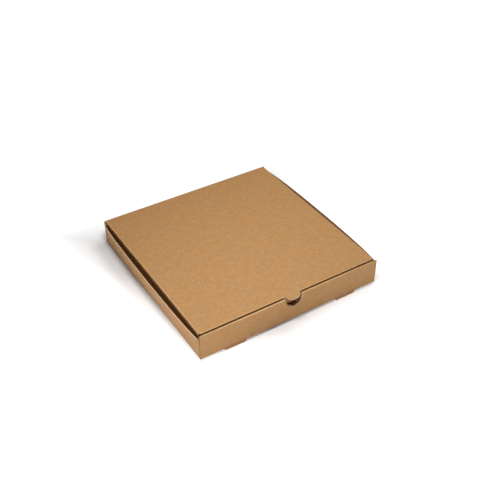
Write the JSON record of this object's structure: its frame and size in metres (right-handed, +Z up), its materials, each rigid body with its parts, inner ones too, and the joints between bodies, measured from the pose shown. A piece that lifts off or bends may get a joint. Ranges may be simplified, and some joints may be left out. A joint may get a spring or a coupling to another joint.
{
  "type": "pizza box",
  "caption": "Plain brown corrugated pizza box, shut, with a rolled front wall, a thumb tongue over a round notch, two small feet and a lid hinged on its rear crease.",
  "frame": {"origin": "under the middle of the shut box's outline, at the level of the tips of the feet", "axes": "X runs along the front wall, to the right seen from the front; Y runs from the front wall to the rear crease; Z is up"},
  "size_m": [0.3182, 0.3136, 0.0461],
  "materials": {
    "kraft_board": "matt brown kraft paper over fine flutes"
  },
  "bodies": {
    "tray_body": {"tray": "kraft_board"},
    "lid_body": {"lid": "kraft_board"}
  },
  "joints": [
    {"name": "lid_hinge", "type": "hinge", "parent": "tray_body", "child": "lid_body", "pos_m": [0, 0.15615, 0.0454], "axis": [-1, 0, 0], "range_deg": [0, 180]}
  ]
}
